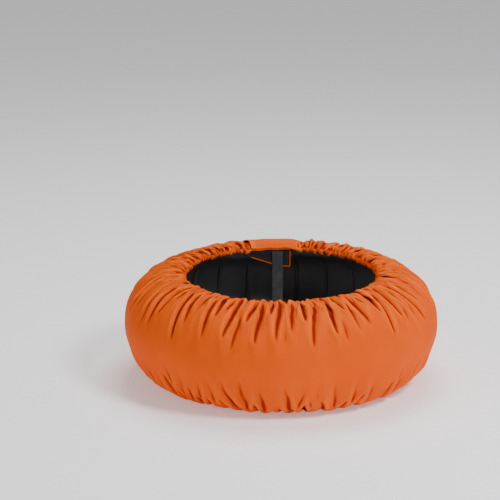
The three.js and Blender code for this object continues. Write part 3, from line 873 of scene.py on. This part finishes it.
# %% Piping
piping_ring, drop = 0.2141, 0.0019
piping_path = [at(piping_ring, z - drop, a) for a, z in TONGUE_CORNERS]
end_angle = TONGUE_END + 0.4 - math.degrees(drop / piping_ring)
piping_path += [at(piping_ring, 0.1935 - drop * 0.6, end_angle + 0.1), at(piping_ring, 0.196, end_angle),
                at(piping_ring, TONGUE_TOP, end_angle)]
piping_path = smooth_path(piping_path, 160)
piping = carried("piping", piping_path, round_outline(0.0011, 10), outwards(piping_path))
piping_paint = Paint("piping cloth", (0.66, 0.07, 0.0), 0.6, Specular_IOR_Level=0.2)
_, along, _ = piping_paint.apart(piping_paint.place("UV"))
threads = (along * (TURN / 0.0009)).wave() * 0.4
piping_paint.relief(threads + piping_paint.noise(piping_paint.place(), 300.0), 0.4, 0.0003)
dressed(piping, piping_paint, "cover_cloth", "tongue_piping")

# %% [markdown]
# The strap is woven webbing, 25 mm wide. It hangs from the tongue down the inside
# of the mouth and bends out under the belt, where the patches hold it. Its path
# sags a little, as webbing does that isn't pulled tight.

# %% Strap
STRAP_ANGLE, STRAP_RADIUS = 92.2, 0.2109
strap_path = [(0, 0.2267), (0, 0.204), (-0.0015, 0.180), (-0.004, 0.140), (-0.0045, 0.100),
              (-0.003, 0.060), (-0.001, 0.038), (0.003, 0.027), (0.009, 0.0215), (0.0185, 0.0195),
              (0.030, 0.0192), (0.043, 0.0195)]
strap_path = smooth_path([at(STRAP_RADIUS + out, z, STRAP_ANGLE) for out, z in strap_path], 150)
wide = np.tile([-math.sin(math.radians(STRAP_ANGLE)), math.cos(math.radians(STRAP_ANGLE)), 0.0], (150, 1))
strap = carried("strap", strap_path, flat_outline(0.025, 0.0016, 12), wide)
webbing = Paint("webbing", (0.03, 0.034, 0.034), 0.6)
across, along, _ = webbing.apart(webbing.place("UV"))
slant = (along + across.size() * 0.9) * (TURN / 0.0034)
ribs = (across * (TURN / 0.0016)).wave()
twill = slant.wave() * 0.5 + ribs * 0.5
dusty = webbing.noise(webbing.place(), 60.0, 4.0)
webbing.feed("Base Color", webbing.blend(
    twill.ramp(-0.8, 0.9) * dusty.ramp(0.3, 0.7, 0.45, 1.0), (0.012, 0.013, 0.014), (0.070, 0.078, 0.076)))
webbing.relief(twill, 0.7, 0.0005)
dressed(strap, webbing, "grey_webbing", "closing_strap")

# %% [markdown]
# Stitches
#
# Every seam is a row of short stitches that follows the cloth. One Geometry Nodes
# tree makes them all: it turns a line into a curve, cuts it into even steps, and
# puts a small bead on each, turned along the line. The lines are read off the cloth.


# %% A tree of nodes for stitches
def new_stitch_tree():
    tree = bpy.data.node_groups.new("stitches", "GeometryNodeTree")
    face = tree.interface
    face.new_socket("Line", in_out="INPUT", socket_type="NodeSocketGeometry")
    for name, value in (("Spacing", 0.0034), ("Length", 0.0025), ("Thickness", 0.0005)):
        face.new_socket(name, in_out="INPUT", socket_type="NodeSocketFloat").default_value = value
    face.new_socket("Thread", in_out="INPUT", socket_type="NodeSocketMaterial")
    face.new_socket("Stitches", in_out="OUTPUT", socket_type="NodeSocketGeometry")

    def node(kind, **settings):
        made = tree.nodes.new(kind)
        for name, value in settings.items():
            setattr(made, name, value)
        return made

    def join(source, target):
        tree.links.new(source, target)

    given, result = node("NodeGroupInput"), node("NodeGroupOutput")
    curve = node("GeometryNodeMeshToCurve")
    steps = node("GeometryNodeResampleCurve", mode="LENGTH")
    bead = node("GeometryNodeMeshUVSphere")
    bead.inputs["Segments"].default_value, bead.inputs["Rings"].default_value = 6, 4
    bead.inputs["Radius"].default_value = 0.5
    place = node("GeometryNodeInstanceOnPoints")
    tangent = node("GeometryNodeInputTangent")
    turned = node("FunctionNodeAlignRotationToVector", axis="X")
    shape = node("ShaderNodeCombineXYZ")
    real = node("GeometryNodeRealizeInstances")
    paint = node("GeometryNodeSetMaterial")
    join(given.outputs["Line"], curve.inputs["Mesh"])
    join(curve.outputs["Curve"], steps.inputs["Curve"])
    join(given.outputs["Spacing"], steps.inputs["Length"])
    join(steps.outputs["Curve"], place.inputs["Points"])
    join(bead.outputs["Mesh"], place.inputs["Instance"])
    join(tangent.outputs["Tangent"], turned.inputs["Vector"])
    join(turned.outputs["Rotation"], place.inputs["Rotation"])
    join(given.outputs["Length"], shape.inputs["X"])
    join(given.outputs["Thickness"], shape.inputs["Y"])
    join(given.outputs["Thickness"], shape.inputs["Z"])
    join(shape.outputs["Vector"], place.inputs["Scale"])
    join(place.outputs["Instances"], real.inputs["Geometry"])
    join(real.outputs["Geometry"], paint.inputs["Geometry"])
    join(given.outputs["Thread"], paint.inputs["Material"])
    join(paint.outputs["Geometry"], result.inputs["Stitches"])
    return tree


stitch_tree = new_stitch_tree()


def stitched(name, lines, paint, slot, **sizes):
    """A plain mesh of stitches along each line of points."""
    points, edges = [], []
    for line in lines:
        edges += [(len(points) + k, len(points) + k + 1) for k in range(len(line) - 1)]
        points += [(float(x), float(y), max(float(z), 0.0017)) for x, y, z in line]
    mesh = bpy.data.meshes.new(name + " line")
    mesh.from_pydata(points, edges, [])
    guide = bpy.data.objects.new(name + " line", mesh)
    bpy.context.scene.collection.objects.link(guide)
    modifier = guide.modifiers.new("stitches", "NODES")
    modifier.node_group = stitch_tree
    for socket in stitch_tree.interface.items_tree:
        if socket.in_out == "INPUT" and socket.name in sizes:
            modifier[socket.identifier] = sizes[socket.name]
        if socket.name == "Thread":
            modifier[socket.identifier] = paint.material
    depsgraph = bpy.context.evaluated_depsgraph_get()
    made = bpy.data.meshes.new_from_object(guide.evaluated_get(depsgraph))
    bpy.data.objects.remove(guide)
    made.name = name
    made.shade_smooth()
    piece = bpy.data.objects.new(name, made)
    bpy.context.scene.collection.objects.link(piece)
    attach(piece, "root")
    print(name, "has", len(made.polygons), "faces")
    return piece


# %% [markdown]
# The cover is sewn twice along the flap's end, and once along each hem just beside
# the elastic's casing. Each line is read off the cloth between two rows of its grid
# and lifted a little from it, so it rides over the folds.

# %% Seams of the cover
orange_thread = Paint("orange thread", (0.95, 0.20, 0.03), 0.6)
orange_thread.relief(orange_thread.noise(orange_thread.place(), 900.0), 0.4, 0.0002)


def beside(grid, place, side=1, lift=0.0002):
    """A line over the cloth between two rows, as far along as place says."""
    row, part = int(place), place - int(place)
    raised = grid + side * lift * outward(grid)
    return raised[row] * (1 - part) + raised[row + 1] * part


turned_sheet = np.swapaxes(sheet, 0, 1)
hem_seams = [beside(sheet, 1.9), beside(sheet[::-1], 1.9, -1)]
end_seams = [beside(turned_sheet[::-1], place, 1)[3:-3] for place in (3.2, 9.5)]
cover_seam = {"Spacing": 0.0042, "Length": 0.003, "Thickness": 0.0006}
hem_stitches = stitched("hem_stitches", hem_seams, orange_thread, "cover_cloth", **cover_seam)
flap_stitches = stitched("flap_stitches", end_seams, orange_thread, "cover_cloth", **cover_seam)

# %% [markdown]
# The lining is quilted to the belt along four lines, the tongue is sewn along its
# piping, and the strap's upper end is held by a sewn box with a cross in it.

# %% Seams of the lining, the tongue and the strap
lining_seams = [beside(lining_points, place, -1, 0.0004) for place in (3.5, 15.5, 52.5, 65.5)]
grey_thread = Paint("grey thread", (0.10, 0.10, 0.10), 0.7)
lining_stitches = stitched("lining_stitches", lining_seams, grey_thread, "black_lining",
                           Spacing=0.0045, Length=0.0032, Thickness=0.0006)
edge = smooth_path([at(0.2141, z + 0.0035, a) for a, z in TONGUE_CORNERS[::-1]], 90)[4:-4]
upright = [at(0.2141, z, TONGUE_END + 1.6) for z in np.linspace(0.1975, TONGUE_TOP - 0.002, 12)]
tongue_stitches = stitched("tongue_stitches", [edge, upright], grey_thread, "black_lining",
                           Spacing=0.0038, Length=0.0026, Thickness=0.0005)


def on_strap(side, height):
    out = STRAP_RADIUS - 0.00095
    turn = math.radians(STRAP_ANGLE)
    c, s = math.cos(turn), math.sin(turn)
    return (out * c - side * s, out * s + side * c, height)


half, low, high = 0.0095, 0.2065, 0.2235
box = [(-half, high), (half, high), (half, low), (-half, low), (-half, high), (half, low)]
box_lines = [[on_strap(*a), on_strap(*b)] for a, b in zip(box, box[1:])]
box_lines += [[on_strap(-half, low), on_strap(half, high)]]
stitched("strap_stitches", box_lines, grey_thread, "grey_webbing",
         Spacing=0.0032, Length=0.0023, Thickness=0.0006)

# %% [markdown]
# What stays as it came
#
# The gland, its washer, the strap's two patches and everything along the heating wire
# keep their solids. They only get a finish: moulded rubber, tinned metal, silicone
# sleeve and the nap of touch tape.

# %% Finishes for the solids
rubber = Paint("moulded rubber", (0.012, 0.012, 0.012), 0.5)
grain = rubber.noise(rubber.place(), 420.0, 3.0)
rubber.feed("Roughness", 0.42 + 0.2 * grain)
rubber.relief(grain, 0.35, 0.0003)
silicone = Paint("silicone sleeve", (0.28, 0.022, 0.012), 0.45)
cloudy = silicone.noise(silicone.place(), 60.0, 3.0)
silicone.feed("Base Color", silicone.blend(cloudy, (0.24, 0.016, 0.010), (0.34, 0.03, 0.016)))
silicone.feed("Roughness", 0.38 + 0.2 * cloudy)
metal = Paint("tinned metal", (0.5, 0.48, 0.45), 0.35, Metallic=1.0)
dull = metal.noise(metal.place(), 150.0, 5.0)
metal.feed("Roughness", 0.25 + 0.3 * dull)
metal.feed("Base Color", metal.blend(dull, (0.42, 0.40, 0.37), (0.60, 0.58, 0.54)))
finishes = {
    rubber: ["cable_gland"],
    metal: ["gland_washer", "thermostat", "live_splice", "neutral_splice"],
    silicone: ["heating_wire", "live_core", "thermostat_core", "neutral_core"],
    tape_paint: ["strap_loop_patch", "strap_hook_patch"],
}
for paint, names in finishes.items():
    for name in names:
        for slot in bpy.data.objects[name].material_slots:
            slot.material = paint.material

# %% [markdown]
# At the end, the size of the finished model is printed beside the size of the
# solids, so that the two can be compared.

# %% End
boxes = {"cad": cad_box, "visual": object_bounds()}
boxes = {name: [[float(number) for number in corner] for corner in box] for name, box in boxes.items()}
print(boxes)
